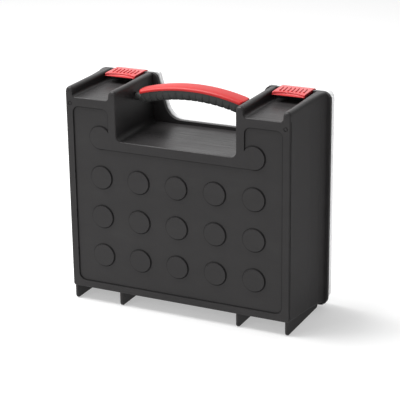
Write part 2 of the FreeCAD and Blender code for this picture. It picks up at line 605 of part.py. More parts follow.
def ratchet(prefix, k, hx, z, y0, square, sq_long, long, grip_long):
    """Round-head ratchet lying along X with its square drive pointing into the tray."""
    full = prefix.startswith("half")
    c = lambda t: t.replace("#", prefix)
    X, Z, K = c("#_hx"), c("#_hz"), c("#_k")
    U = lambda u: c("#_y+(%s)*#_k" % u)
    R = lambda r: c("%s*#_k" % r)
    axis = U(10)
    # forged body: head, neck, shank
    head = cyl_y(R(18), X, Z, U(0.8), U(19.2))
    rim0 = cone_y(R(17.2), R(18), X, Z, U(0), U(0.8))
    rim1 = cone_y(R(18), R(17.2), X, Z, U(19.2), U(20))
    neck = cone_x(R(9.5), R(6.5), axis, Z, c("#_hx+12*#_k"), c("#_hx+50*#_k"))
    shank = cyl_x(R(6.5), axis, Z, c("#_hx+50*#_k"), c("#_hx+#_long-10*#_k"))
    body = fuse([head, rim0, rim1, neck, shank])
    holes = [cyl_y(R(13.2), X, Z, U(3), U(22)), cyl_y(c("8.8*#_k+pin_gap"), X, Z, U(-1), U(4)), cyl_y(R(16.7), X, Z, U(18), U(22))]
    if full:
        holes.append(box(c("#_hx+10*#_k"), c("#_hx+19*#_k"), U(3.7), U(18), c("#_hz-4.3*#_k"), c("#_hz+4.3*#_k")))
        holes += [cyl_y("0.82", X, c("#_hz+%d*14.8*#_k" % q), U(11), U(19)) for q in (-1, 1)]
    body = cut(body, holes)
    doc.recompute()
    finish(body, prefix + "_body")
    # toothed drive with its square and detent ball
    pts = []
    teeth = 36
    for i in range(2 * teeth):
        r = (12.7 if i % 2 == 0 else 11.7) * k
        t = math.pi * i / teeth
        pts.append((hx + r * math.cos(t), z + r * math.sin(t)))
    wheel = outline_xz(pts, [0] * len(pts), U(3.5), c("14*#_k"))
    lowpin = cyl_y(R(8.8), X, Z, U(-1.4), U(3.6))
    sq = box(c("#_hx-#_sq/2"), c("#_hx+#_sq/2"), c("#_y-1.4*#_k-#_sql"), U(-1.3), c("#_hz-#_sq/2"), c("#_hz+#_sq/2"))
    ball = fresh("Part::Sphere")
    bind(ball, Radius=c("#_sq*0.17"))
    at(ball, c("#_hx+#_sq*0.41"), c("#_y-1.4*#_k-#_sql*0.5"), Z)
    drive = cut(fuse([wheel, lowpin, sq, ball]), cyl_y(c("2.9*#_k+pin_gap"), X, Z, U(-4), U(20)))
    doc.recompute()
    finish(drive, prefix + "_drive")
    # cover plate, screws, pawl
    cover = cyl_y(R(16.5), X, Z, U(18.05), U(20))
    cover_holes = [cyl_y(c("6*#_k"), X, Z, U(17), U(21))]
    if full:
        for q in (-1, 1):
            cover_holes.append(cyl_y("0.9", X, c("#_hz+%d*14.8*#_k" % q), U(17), U(21)))
            cover_holes.append(cyl_y("1.6", X, c("#_hz+%d*14.8*#_k" % q), U(19), U(21)))
    cover = cut(cover, cover_holes)
    doc.recompute()
    finish(cover, prefix + "_cover_plate")
    if full:
        screws = []
        for q in (-1, 1):
            zz = c("#_hz+%d*14.8*#_k" % q)
            one = fuse([cyl_y("0.8", X, zz, U(11.3), U(19.1)), cyl_y("1.5", X, zz, U(19.05), U(20))])
            screws.append(cut(one, box(c("#_hx-2"), c("#_hx+2"), U(19.6), U(21), zz + "-0.25", zz + "+0.25")))
        finish(fuse(screws), prefix + "_cover_screws")
        pawl = box(c("#_hx+13.4*#_k"), c("#_hx+18.6*#_k"), U(4.1), U(17.6), c("#_hz-4*#_k"), c("#_hz+4*#_k"))
        finish(pawl, prefix + "_pawl")
    # reversing lever: ring with thumb tab round the button
    ring = [cyl_y(R(8.6), X, Z, U(20.5), U(22.8)), cyl_y(c("6*#_k-pin_gap"), X, Z, U(18.5), U(20.6)),
            box(X, c("#_hx+15*#_k"), U(20.5), U(22.4), c("#_hz-2.8*#_k"), c("#_hz+2.8*#_k")),
            cyl_y(R(3.6), c("#_hx+15*#_k"), Z, U(20.5), U(23.4))]
    lever = cut(fuse(ring), cyl_y(R(4.6), X, Z, U(17), U(25)))
    doc.recompute()
    finish(lever, prefix + "_reverse_lever")
    button = fuse([cyl_y(R(2.9), X, Z, U(0), U(21.3)), cyl_y(R(4.1), X, Z, U(21.2), U(23.8)), cone_y(R(4.1), R(3.4), X, Z, U(23.8), U(24.5))])
    finish(button, prefix + "_release_button")
    # moulded grip over the shank
    g0, g1 = c("#_hx+#_long-#_grip"), c("#_hx+#_long")
    grip = fuse([cone_x(R(9.5), R(12.5), axis, Z, g0, g0 + "+10"), cyl_x(R(12.5), axis, Z, g0 + "+10", g0 + "+#_grip*0.45".replace("#", prefix)),
                 cone_x(R(12.5), R(14.0), axis, Z, g0 + "+#_grip*0.45".replace("#", prefix), g1 + "-14"),
                 cyl_x(R(14.0), axis, Z, g1 + "-14", g1 + "-4"), cone_x(R(14.0), R(10.5), axis, Z, g1 + "-4", g1)])
    grip = cut(grip, cyl_x(c("6.5*#_k+0.02"), axis, Z, g0 + "-1", c("#_hx+#_long-9.6*#_k")))
    doc.recompute()
    finish(grip, prefix + "_grip")
    g = "pocket_gap"
    POCKETS.extend([
        cyl_y(R(18) + "+" + g, X, Z, U(-0.6), "deck_y+5"),
        cyl_y(c("#_sq*0.72+1.5"), X, Z, c("#_y-1.4*#_k-#_sql-0.6"), "deck_y+5"),
        box(X, g0 + "+4", c("#_y+(10-9.5)*#_k-0.6"), "deck_y+5", c("#_hz-9.5*#_k-") + g, c("#_hz+9.5*#_k+") + g),
        box(g0 + "-1", g1 + "+" + g, c("#_y+(10-14)*#_k-0.6"), "deck_y+5", c("#_hz-14*#_k-") + g, c("#_hz+14*#_k+") + g)])


for entry in RATCHETS:
    ratchet(*entry)


def bar(label, x0, x1, z, y, r_f, r_rod, square, sq_long, long_f):
    """Extension bar along X: female square at x1, male square at x0."""
    c = lambda t: t.replace("#", label)
    Y, Z = c("#_cy"), c("#_cz")
    solid = [box(c("#_xa"), c("#_xa+#_sql+0.5"), c("#_cy-#_sq/2"), c("#_cy+#_sq/2"), c("#_cz-#_sq/2"), c("#_cz+#_sq/2")),
             cyl_x(c("#_rr*1.22"), Y, Z, c("#_xa+#_sql"), c("#_xa+#_sql+8")), cone_x(c("#_rr*1.22"), c("#_rr"), Y, Z, c("#_xa+#_sql+8"), c("#_xa+#_sql+13")),
             cyl_x(c("#_rr"), Y, Z, c("#_xa+#_sql+13"), c("#_xb-#_lf-8")), cone_x(c("#_rr"), c("#_rf"), Y, Z, c("#_xb-#_lf-8"), c("#_xb-#_lf")),
             cyl_x(c("#_rf"), Y, Z, c("#_xb-#_lf"), c("#_xb-0.8")), cone_x(c("#_rf"), c("#_rf-0.8"), Y, Z, c("#_xb-0.8"), c("#_xb"))]
    ball = fresh("Part::Sphere")
    bind(ball, Radius=c("#_sq*0.17"))
    solid.append(at(ball, c("#_xa+#_sql*0.5"), c("#_cy+#_sq*0.41"), Z))
    done = cut(fuse(solid), box(c("#_xb-#_sql-1"), c("#_xb+1"), c("#_cy-#_sq/2-0.1"), c("#_cy+#_sq/2+0.1"), c("#_cz-#_sq/2-0.1"), c("#_cz+#_sq/2+0.1")))
    doc.recompute()
    finish(done, label)
    r_mid = max(r_rod * 1.22, square * 0.5)
    POCKETS.append(box(c("#_xb-#_lf-9"), c("#_xb+pocket_gap"), c("#_cy-#_rf-0.3"), "deck_y+5", c("#_cz-#_rf-pocket_gap"), c("#_cz+#_rf+pocket_gap")))
    POCKETS.append(box(c("#_xa-pocket_gap"), c("#_xb-#_lf-8"), c("#_cy-%r-0.3" % r_mid), "deck_y+5", c("#_cz-%r-pocket_gap" % r_mid), c("#_cz+%r+pocket_gap" % r_mid)))


for entry in BARS:
    bar(*entry)

# drive adapter
adapter = cut(fuse([cyl_x("10.8", "88", "166", "116.5", "134"), cone_x("5.5", "10.8", "88", "166", "113", "116.5"),
                    box("106.6-0.2", "113.5", "88-square_quarter/2", "88+square_quarter/2", "166-square_quarter/2", "166+square_quarter/2")]),
              box("120", "135", "88-square_half/2-0.1", "88+square_half/2+0.1", "166-square_half/2-0.1", "166+square_half/2+0.1"))
doc.recompute()
finish(adapter, "drive_adapter")
POCKETS.append(box("112.4", "134.6", "76.9", "deck_y+5", "166-11.4", "166+11.4"))
POCKETS.append(box("105.4", "113", "84", "deck_y+5", "166-4", "166+4"))

# spinner handle
shaft = fuse([cyl_x("3.6", "88", "190", "31", "84"), box("22.8", "31.2", "88-square_quarter/2", "88+square_quarter/2", "190-square_quarter/2", "190+square_quarter/2")])
finish(shaft, "spinner_shaft")
spin = doc.addObject("PartDesign::Body", "spinner_body")
prof = [(66.0, 0.0), (134.0, 0.0), (134.0, 8.0), (131.0, 12.0), (112.0, 12.4), (96.0, 10.4), (82.0, 12.2), (72.0, 11.4), (66.0, 6.5)]
sp = body_sketch(spin, "XZ_Plane")
for g in corner_path(prof, [0, 0, 2.0, 2.0, 20.0, 30.0, 12.0, 3.0, 1.0]):
    sp.addGeometry(g, False)
rev = spin.newObject("PartDesign::Revolution", "spinner_turn")
rev.Profile = sp
rev.ReferenceAxis = (sp, ["H_Axis"])
rev.Angle = 360.0
doc.recompute()
at(spin, "0", "88", "190")
spin_done = cut(spin, cyl_x("3.62", "88", "190", "60", "84.4"))
doc.recompute()
finish(spin_done, "spinner_grip")
POCKETS.append(box("65.4", "134.6", "75.2", "deck_y+5", "190-13", "190+13"))
POCKETS.append(box("22.2", "66", "84", "deck_y+5", "190-4.2", "190+4.2"))

# screwdriver bits in three groups
for g, name in enumerate(("bits_slotted", "bits_cross", "bits_hexagon")):
    group = []
    for i in range(3):
        bx = "%r" % (36.0 + 11.5 * (3 * g + i))
        shank = hex_y("square_quarter", bx, "80", "76", "92")
        if name == "bits_slotted":
            tip = fuse([cone_y("3.0", "2.4", bx, "80", "91.9", "95"), box("%s-%r" % (bx, 1.8 + 0.3 * i), "%s+%r" % (bx, 1.8 + 0.3 * i), "94", "100", "80-0.5", "80+0.5")])
        elif name == "bits_cross":
            tip = cut(fuse([cyl_y("%r" % (2.0 + 0.25 * i), bx, "80", "91.9", "97"), cone_y("%r" % (2.0 + 0.25 * i), "0.7", bx, "80", "97", "100")]),
                      [box("%s+%r" % (bx, q * 2.2 - 1.6), "%s+%r" % (bx, q * 2.2 + 1.6), "95", "101", "80+%r" % (w * 2.2 - 1.6), "80+%r" % (w * 2.2 + 1.6))
                       for q in (-1, 1) for w in (-1, 1)])
        else:
            tip = hex_y("%r" % (3.0 + i), bx, "80", "91.9", "100")
        group.append(fuse([shank, tip]))
        POCKETS.append(cyl_y("4.2", bx, "80", "75.6", "deck_y+5"))
    whole = fuse(group, refine=False)
    doc.recompute()
    finish(whole, name)

# ================================================================== foam
tray = drafted([("foam_low", 141.0, 18.5, 206.8, 5.0, 5.0), ("deck_y", 144.0, 14.5, 206.8, 5.0, 5.0)])
tray = cut(tray, POCKETS, refine=False)
doc.recompute()
finish(tray, "tool_tray")
spacer = drafted([("wall_t+0.5", 140.2, 21.6, 206.8, 5.0, 5.0), ("foam_low-0.3", 141.0, 18.5, 206.8, 5.0, 5.0)])
finish(spacer, "foam_spacer")
finish(cut(box("-139.8", "-insert_x", "wall_t+0.5", "deck_y", "208", "256.6"), LEFT_POCKETS, refine=False), "tower_insert_left")
finish(cut(box("insert_x", "139.8", "wall_t+0.5", "deck_y", "208", "256.6"), RIGHT_POCKETS, refine=False), "tower_insert_right")


# ------------------------------------------------------------------ write out
def write_out():
    doc.recompute()
    for o in doc.Objects:
        if "Invalid" in o.State or "Error" in o.State:
            raise RuntimeError("%s is in state %s" % (o.Name, o.State))
    os.makedirs("parts", exist_ok=True)
    for o in PARTS:
        if o.Shape.isNull() or not o.Shape.isValid() or not o.Shape.Solids:
            raise RuntimeError("bad shape in " + o.Label)
        o.Shape.exportStep("parts/%s.step" % o.Label)
        b = o.Shape.optimalBoundingBox(True, False)
        print("%-26s solids %d  vol %9.1f  x %.1f %.1f  y %.1f %.1f  z %.1f %.1f" % (
            o.Label, len(o.Shape.Solids), o.Shape.Volume, b.XMin, b.XMax, b.YMin, b.YMax, b.ZMin, b.ZMax))


write_out()
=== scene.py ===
import json
import math

import bpy
import bmesh
from mathutils import Matrix, Vector


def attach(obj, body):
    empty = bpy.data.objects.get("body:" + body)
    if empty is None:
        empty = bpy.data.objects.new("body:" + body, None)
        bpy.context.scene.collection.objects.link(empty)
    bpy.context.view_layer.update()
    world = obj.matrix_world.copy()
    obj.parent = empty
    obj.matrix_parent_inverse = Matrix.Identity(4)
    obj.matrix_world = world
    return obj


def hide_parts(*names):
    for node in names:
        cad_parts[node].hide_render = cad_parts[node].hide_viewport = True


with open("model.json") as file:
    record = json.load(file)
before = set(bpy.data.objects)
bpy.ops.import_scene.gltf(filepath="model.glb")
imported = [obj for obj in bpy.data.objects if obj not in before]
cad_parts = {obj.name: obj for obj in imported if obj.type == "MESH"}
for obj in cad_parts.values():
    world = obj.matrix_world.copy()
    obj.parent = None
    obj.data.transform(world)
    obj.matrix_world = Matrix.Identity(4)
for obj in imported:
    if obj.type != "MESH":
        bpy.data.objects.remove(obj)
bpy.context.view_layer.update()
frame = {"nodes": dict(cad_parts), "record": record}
NODES = frame["nodes"]
SCENE = bpy.context.scene


# ------------------------------------------------------------------ node materials
class Mat:
    """A Principled material whose colour, roughness and bump come from procedural nodes."""

    def __init__(self, name):
        self.m = bpy.data.materials.new(name)
        self.m.use_nodes = True
        self.t = self.m.node_tree
        self.b = self.t.nodes["Principled BSDF"]
        self.co = self.t.nodes.new("ShaderNodeTexCoord").outputs["Object"]

    def set(self, **kw):
        for k, v in kw.items():
            self.b.inputs[k.replace("_", " ")].default_value = v
        return self

    def mapped(self, scale):
        n = self.t.nodes.new("ShaderNodeMapping")
        n.inputs["Scale"].default_value = scale
        self.t.links.new(self.co, n.inputs["Vector"])
        return n.outputs["Vector"]

    def noise(self, scale, detail=3.0, rough=0.5, vector=None, distortion=0.0):
        n = self.t.nodes.new("ShaderNodeTexNoise")
        n.inputs["Scale"].default_value = scale
        n.inputs["Detail"].default_value = detail
        n.inputs["Roughness"].default_value = rough
        n.inputs["Distortion"].default_value = distortion
        self.t.links.new(vector or self.co, n.inputs["Vector"])
        return n.outputs["Fac"]

    def cells(self, scale, feature="F1", vector=None):
        n = self.t.nodes.new("ShaderNodeTexVoronoi")
        n.feature = feature
        n.inputs["Scale"].default_value = scale
        self.t.links.new(vector or self.co, n.inputs["Vector"])
        return n.outputs["Distance"]

    def ramp(self, fac, stops):
        n = self.t.nodes.new("ShaderNodeValToRGB")
        e = n.color_ramp.elements
        e[0].position, e[0].color = stops[0][0], self.rgba(stops[0][1])
        e[1].position, e[1].color = stops[-1][0], self.rgba(stops[-1][1])
        for pos, col in stops[1:-1]:
            x = e.new(pos)
            x.color = self.rgba(col)
        self.t.links.new(fac, n.inputs["Fac"])
        return n.outputs["Color"]

    @staticmethod
    def rgba(c):
        return (c, c, c, 1.0) if isinstance(c, (int, float)) else (c[0], c[1], c[2], 1.0)

    def span(self, fac, lo, hi, a=0.3, b=0.7):
        n = self.t.nodes.new("ShaderNodeMapRange")
        n.inputs["From Min"].default_value = a
        n.inputs["From Max"].default_value = b
        n.inputs["To Min"].default_value = lo
        n.inputs["To Max"].default_value = hi
        self.t.links.new(fac, n.inputs["Value"])
        return n.outputs["Result"]

    def math(self, op, a, b):
        n = self.t.nodes.new("ShaderNodeMath")
        n.operation = op
        for i, v in enumerate((a, b)):
            if isinstance(v, (int, float)):
                n.inputs[i].default_value = v
            else:
                self.t.links.new(v, n.inputs[i])
        return n.outputs["Value"]

    def mix(self, fac, a, b):
        n = self.t.nodes.new("ShaderNodeMix")
        n.data_type = "RGBA"
        ins = [s for s in n.inputs if s.type == "RGBA"]
        for sock, v in ((n.inputs[0], fac), (ins[0], a), (ins[1], b)):
            if isinstance(v, (int, float)) and sock.type == "VALUE":
                sock.default_value = v
            elif isinstance(v, (int, float, tuple)):
                sock.default_value = self.rgba(v)
            else:
                self.t.links.new(v, sock)
        return [s for s in n.outputs if s.type == "RGBA"][0]

    def color(self, sock):
        self.t.links.new(sock, self.b.inputs["Base Color"])
        return self

    def rough(self, sock):
        self.t.links.new(sock, self.b.inputs["Roughness"])
        return self

    def bump(self, *layers):
        """Layers of (height socket, strength, distance in metres), chained."""
        last = None
        for h, strength, dist in layers:
            n = self.t.nodes.new("ShaderNodeBump")
            n.inputs["Strength"].default_value = strength
            n.inputs["Distance"].default_value = dist
            self.t.links.new(h, n.inputs["Height"])
            if last is not None:
                self.t.links.new(last, n.inputs["Normal"])
            last = n.outputs["Normal"]
        self.t.links.new(last, self.b.inputs["Normal"])
        return self


def case_plastic():
    """Black moulded plastic; painted shade lines darken the feet of the steps on the disc face, round the discs most on
    their right and lower side.
    """
    m = Mat("case_black")
    flow = m.noise(9.0, 4.0, 0.6, m.mapped((1.0, 1.0, 2.2)), 0.6)
    fine = m.noise(1400.0, 2.0, 0.6)
    scuff = m.noise(60.0, 6.0, 0.7, m.mapped((3.0, 1.0, 0.25)), 1.2)
    base = m.ramp(flow, [(0.3, (0.0305, 0.0290, 0.0295)), (0.55, (0.0350, 0.0334, 0.0339)), (0.75, (0.0400, 0.0384, 0.0388))])
    marks = m.span(scuff, 0.0, 0.20, 0.62, 0.78)
    tone = m.mix(marks, base, (0.060, 0.0582, 0.0586))
    sep = m.t.nodes.new("ShaderNodeSeparateXYZ")
    m.t.links.new(m.co, sep.inputs["Vector"])
    x, y, z = (sep.outputs[k] for k in "XYZ")
    ax = m.math("ABSOLUTE", x, 0.0)

    def length(u, v):
        return m.math("SQRT", m.math("ADD", m.math("MULTIPLY", u, u), m.math("MULTIPLY", v, v)), 0.0)

    def rect(px, pz, cx, cz, hx, hz, r):
        qx = m.math("SUBTRACT", m.math("ABSOLUTE", m.math("SUBTRACT", px, cx), 0.0), hx - r)
        qz = m.math("SUBTRACT", m.math("ABSOLUTE", m.math("SUBTRACT", pz, cz), 0.0), hz - r)
        out = length(m.math("MAXIMUM", qx, 0.0), m.math("MAXIMUM", qz, 0.0))
        ins = m.math("MINIMUM", m.math("MAXIMUM", qx, qz), 0.0)
        return m.math("SUBTRACT", m.math("ADD", out, ins), r)

    field = m.math("MINIMUM", rect(x, z, 0.0, 0.1134, 0.136, 0.0868, 0.009), rect(ax, z, 0.11225, 0.230, 0.02375, 0.020, 0.008))
    field = m.math("MINIMUM", field, rect(ax, z, 0.118, 0.150, 0.018, 0.080, 0.004))
    # distance to the nearest disc rim: five columns, three rows and the two discs up in the towers
    gx = m.math("SUBTRACT", m.math("FLOORED_MODULO", m.math("ADD", x, 0.275), 0.050), 0.025)
    gz = m.math("SUBTRACT", m.math("FLOORED_MODULO", m.math("ADD", z, 0.011), 0.050), 0.025)
    grid = length(gx, gz)
    top = length(m.math("SUBTRACT", ax, 0.100), m.math("SUBTRACT", z, 0.214))
    keep = m.math("MAXIMUM", m.math("MULTIPLY", m.math("LESS_THAN", z, 0.189), m.math("GREATER_THAN", z, 0.039)),
                  m.math("LESS_THAN", top, 0.020))
    # painted shade: a dark line at the foot of each disc rim, inside the field, strongest on the right and lower side
    # of the disc
    rim = m.math("ABSOLUTE", m.math("SUBTRACT", grid, 0.0145), 0.0)
    shade_side_weight = m.span(m.math("SUBTRACT", m.math("MULTIPLY", gx, 0.95), m.math("MULTIPLY", gz, 0.30)), 0.40, 1.0, -0.010, 0.006)
    disc_shade_line = m.math("MULTIPLY", m.math("MULTIPLY", m.span(rim, 1.0, 0.0, 0.0002, 0.0011), keep), shade_side_weight)
    inside = m.math("LESS_THAN", field, 0.0004)
    disc_shade_line = m.math("MULTIPLY", disc_shade_line, inside)
    # painted shade: a dark line along the field outline, clear of the discs and lighter near the bottom
    clear = m.math("MAXIMUM", m.math("GREATER_THAN", grid, 0.0139), m.math("SUBTRACT", 1.0, keep))
    field_shade_line = m.math("MULTIPLY", m.span(m.math("ABSOLUTE", m.math("ADD", field, 0.0004), 0.0), 0.85, 0.0, 0.0001, 0.0010), clear)
    field_shade_line = m.math("MULTIPLY", field_shade_line, m.span(z, 0.60, 1.0, 0.029, 0.045))
    # both painted shade lines go only on the disc face, mix the tone towards near black and add roughness
    face = m.math("LESS_THAN", y, -0.0542)
    shade_line = m.math("MULTIPLY", m.math("MULTIPLY", m.math("MAXIMUM", disc_shade_line, field_shade_line), face), PAINTED_SHADE_LINE)
    m.color(m.mix(shade_line, tone, (0.0030, 0.0030, 0.0031)))
    nsep = m.t.nodes.new("ShaderNodeSeparateXYZ")
    m.t.links.new(m.t.nodes["Texture Coordinate"].outputs["Normal"], nsep.inputs["Vector"])
    wall = m.math("MULTIPLY", m.span(m.math("ABSOLUTE", nsep.outputs["X"], 0.0), 0.0, 1.0, 0.6, 0.9), m.math("GREATER_THAN", ax, 0.1405))
    level = m.span(nsep.outputs["Z"], 0.0, 1.0, 0.1, 0.6)
    r = m.math("ADD", m.span(flow, 0.46, 0.55), m.span(fine, -0.03, 0.05))
    r = m.math("ADD", r, m.math("MULTIPLY", wall, 0.20))
    # flow streaks along the width on the level floors
    streak = m.noise(40.0, 3.0, 0.6, m.mapped((0.4, 14.0, 0.4)), 0.3)
    r = m.math("SUBTRACT", r, m.math("MULTIPLY", level, m.span(streak, 0.06, 0.26, 0.3, 0.7)))
    m.rough(m.math("ADD", r, m.math("MULTIPLY", shade_line, 0.3)))
    m.bump((fine, 0.10, 0.00025), (flow, 0.05, 0.0015))
    m.set(IOR=1.49, Specular_IOR_Level=0.18)
    return m.m


# strength of the painted shade lines on the disc face
PAINTED_SHADE_LINE = 0.85


def red_plastic(name, dark, mid, light, r0, r1, coat=0.0, spec=0.5, front=None):
    m = Mat(name)
    flow = m.noise(22.0, 3.0, 0.5)
    fine = m.noise(1900.0, 2.0, 0.5)
    tone = m.ramp(flow, [(0.28, dark), (0.52, mid), (0.76, light)])
    r = m.math("ADD", m.span(flow, r0, r1), m.span(fine, -0.02, 0.03))
    m.set(Specular_IOR_Level=spec, Coat_Weight=coat, Coat_Roughness=0.22)
    if front:
        # painted shade: upright walls, the scoop and the underside get a deeper red than the top; they are also matt,
        # with more roughness and no coat
        nsep = m.t.nodes.new("ShaderNodeSeparateXYZ")
        m.t.links.new(m.t.nodes["Texture Coordinate"].outputs["Normal"], nsep.inputs["Vector"])
        psep = m.t.nodes.new("ShaderNodeSeparateXYZ")
        m.t.links.new(m.co, psep.inputs["Vector"])
        wall = m.math("MAXIMUM", m.span(nsep.outputs["Y"], 1.0, 0.0, -0.8, -0.35), m.span(psep.outputs["Z"], 0.85, 0.0, 0.2707, 0.2712))
        wall = m.math("MAXIMUM", wall, m.span(m.math("ABSOLUTE", nsep.outputs["X"], 0.0), 0.0, 1.0, 0.3, 0.65))
        tone = m.mix(wall, tone, front)
        r = m.math("ADD", r, m.math("MULTIPLY", wall, 0.3))
        m.t.links.new(m.span(wall, coat, 0.0, 0.0, 1.0), m.b.inputs["Coat Weight"])
    m.color(tone)
    m.rough(r)
    m.bump((fine, 0.05, 0.0002))
    return m.m


def rubber(name, lo, hi, r0=0.55, r1=0.68):
    m = Mat(name)
    flow = m.noise(30.0, 4.0, 0.6)
    fine = m.noise(2200.0, 2.0, 0.6)
    m.color(m.ramp(flow, [(0.3, lo), (0.7, hi)]))
    m.rough(m.math("ADD", m.span(flow, r0, r1), m.span(fine, -0.03, 0.04)))
    m.bump((fine, 0.16, 0.0002))
    m.set(Specular_IOR_Level=0.35)
    return m.m


def clear_plastic():
    """Clear panel with finely frosted rim walls."""
    m = Mat("lid_clear")
    flow = m.noise(14.0, 3.0, 0.5)
    fine = m.noise(900.0, 2.0, 0.5)
    sep = m.t.nodes.new("ShaderNodeSeparateXYZ")
    m.t.links.new(m.co, sep.inputs["Vector"])
    nsep = m.t.nodes.new("ShaderNodeSeparateXYZ")
    m.t.links.new(m.t.nodes["Texture Coordinate"].outputs["Normal"], nsep.inputs["Vector"])
    side = m.math("LESS_THAN", m.math("ABSOLUTE", nsep.outputs["Y"], 0.0), 0.6)
    rim = m.math("MAXIMUM", m.span(sep.outputs["Y"], 1.0, 0.0, 0.0530, 0.0538), side)
    edge = m.math("MULTIPLY", m.span(sep.outputs["Y"], 0.0, 1.0, 0.0544, 0.0556), side)
    outer = m.math("MAXIMUM", m.math("GREATER_THAN", m.math("ABSOLUTE", sep.outputs["X"], 0.0), 0.0850), m.math("LESS_THAN", sep.outputs["Z"], 0.190))
    panel = m.ramp(flow, [(0.3, (0.80, 0.82, 0.83)), (0.7, (0.86, 0.875, 0.88))])
    wall = m.ramp(fine, [(0.3, (0.74, 0.745, 0.75)), (0.7, (0.80, 0.805, 0.81))])
    shade = m.math("MULTIPLY", m.span(sep.outputs["Y"], 1.0, 0.0, 0.0482, 0.0500), m.math("SUBTRACT", 1.0, outer))
    wall = m.mix(m.math("MULTIPLY", shade, 0.85), wall, (0.13, 0.132, 0.134))
    wall = m.mix(edge, wall, (0.50, 0.50, 0.505))
    m.color(m.mix(rim, panel, wall))
    m.rough(m.math("ADD", m.span(rim, 0.015, 0.28, 0.0, 1.0), m.span(fine, 0.0, 0.02)))
    m.bump((flow, 0.04, 0.0006))
    m.t.links.new(m.span(rim, 0.94, 0.35, 0.0, 1.0), m.b.inputs["Transmission Weight"])
    m.t.links.new(m.span(rim, 0.26, 0.92, 0.0, 1.0), m.b.inputs["Alpha"])
    m.set(IOR=1.45, Specular_IOR_Level=0.5)
    return m.m


def metal(name, lo, hi, r0, r1, stretch=(1.0, 1.0, 1.0), scale=700.0, grain=0.06):
    m = Mat(name)
    flow = m.noise(26.0, 3.0, 0.5)
    lines = m.noise(scale, 3.0, 0.6, m.mapped(stretch))
    m.color(m.ramp(flow, [(0.3, lo), (0.7, hi)]))
    m.rough(m.math("ADD", m.span(flow, r0, r1), m.span(lines, -0.04, 0.06)))
    m.bump((lines, grain, 0.0001))
    m.set(Metallic=1.0)
    return m.m


def foam():
    m = Mat("foam_grey")
    flow = m.noise(12.0, 3.0, 0.5)
    cell = m.cells(900.0)
    tone = m.ramp(flow, [(0.3, (0.030, 0.030, 0.032)), (0.7, (0.046, 0.046, 0.048))])
    m.color(m.mix(m.span(cell, 0.0, 0.45, 0.25, 0.7), tone, (0.016, 0.016, 0.017)))
    m.rough(m.span(cell, 0.86, 0.97, 0.1, 0.7))
    m.bump((cell, 0.35, 0.0004))
    m.set(Specular_IOR_Level=0.2)
    return m.m


CASE = case_plastic()
# the latch's last colour is the painted shade for its upright walls, scoop and underside
LATCH_RED = red_plastic("latch_red", (0.50, 0.008, 0.011), (0.56, 0.011, 0.014), (0.62, 0.016, 0.018), 0.29, 0.37, 0.5, 0.5, (0.44, 0.004, 0.007))
GRIP_RED = red_plastic("grip_red", (0.43, 0.014, 0.014), (0.48, 0.017, 0.017), (0.53, 0.022, 0.021), 0.36, 0.44, 0.0, 0.30)
RUBBER = rubber("handle_black", (0.034, 0.0355, 0.0345), (0.048, 0.0495, 0.0485))
TOOL_GRIP = rubber("tool_grip", (0.022, 0.022, 0.023), (0.036, 0.036, 0.037))
LID = clear_plastic()
CHROME = metal("tool_chrome", (0.70, 0.71, 0.73), (0.80, 0.81, 0.82), 0.13, 0.20, (1.0, 1.0, 1.0), 900.0, 0.03)
PIN = metal("pin_steel", (0.45, 0.455, 0.46), (0.58, 0.585, 0.59), 0.28, 0.36, (0.15, 1.0, 1.0), 1400.0)
BIT = metal("bit_steel", (0.24, 0.245, 0.25), (0.36, 0.365, 0.37), 0.32, 0.42, (1.0, 0.2, 1.0), 1400.0)
FOAM = foam()
BY_SLOT = {"case_black": CASE, "lid_clear": LID, "latch_red": LATCH_RED, "grip_red": GRIP_RED, "handle_black": RUBBER,
           "pin_steel": PIN, "foam_grey": FOAM, "tool_chrome": CHROME, "tool_grip": TOOL_GRIP, "bit_steel": BIT}
SLOT_OF = {s["node"]: s["material_slot"] for s in frame["record"]["subparts"]}


def dress(obj, mat):
    obj.data.materials.clear()
    obj.data.materials.append(mat)


for name, obj in NODES.items():
    obj.data.materials.clear()
    obj.data.materials.append(BY_SLOT[SLOT_OF[name]])


# ------------------------------------------------------------------ mesh helpers
def new_object(name, bm, mat, body, smooth_deg=35.0):
    me = bpy.data.meshes.new(name)
    bmesh.ops.recalc_face_normals(bm, faces=bm.faces[:])
    bm.to_mesh(me)
    bm.free()
    for p in me.polygons:
        p.use_smooth = True
    me.set_sharp_from_angle(angle=math.radians(smooth_deg))
    o = bpy.data.objects.new(name, me)
    SCENE.collection.objects.link(o)
    dress(o, mat)
    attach(o, body)
    return o


def bevel(obj, width, segments=3, angle=35.0):
    b = obj.modifiers.new("edge", "BEVEL")
    b.width = width
    b.segments = segments
    b.limit_method = "ANGLE"
    b.angle_limit = math.radians(angle)
    return b


def loft(bm, rings, cap=True):
    """Skins closed rings of equal length; both ends capped."""
    vs = [[bm.verts.new(p) for p in ring] for ring in rings]
    n = len(vs[0])
    for a, b in zip(vs, vs[1:]):
        for i in range(n):
            j = (i + 1) % n
            bm.faces.new((a[i], a[j], b[j], b[i]))
    if cap:
        bm.faces.new(list(reversed(vs[0])))
        bm.faces.new(vs[-1])
    return vs


# ------------------------------------------------------------------ carrying handle
HY, SPLIT, ARCH = -0.0045, 0.2719, 0.230
ZC = SPLIT - ARCH
END = math.asin(0.066 / ARCH)


def on_arch(phi, v, w):
    return Vector(((ARCH + w) * math.sin(phi), HY + v, ZC + (ARCH + w) * math.cos(phi)))


def bulge(v):
    """The handle ends are rounded in plan."""
    return 0.0026 / ARCH * (1.0 - (v / 0.0130) ** 2)


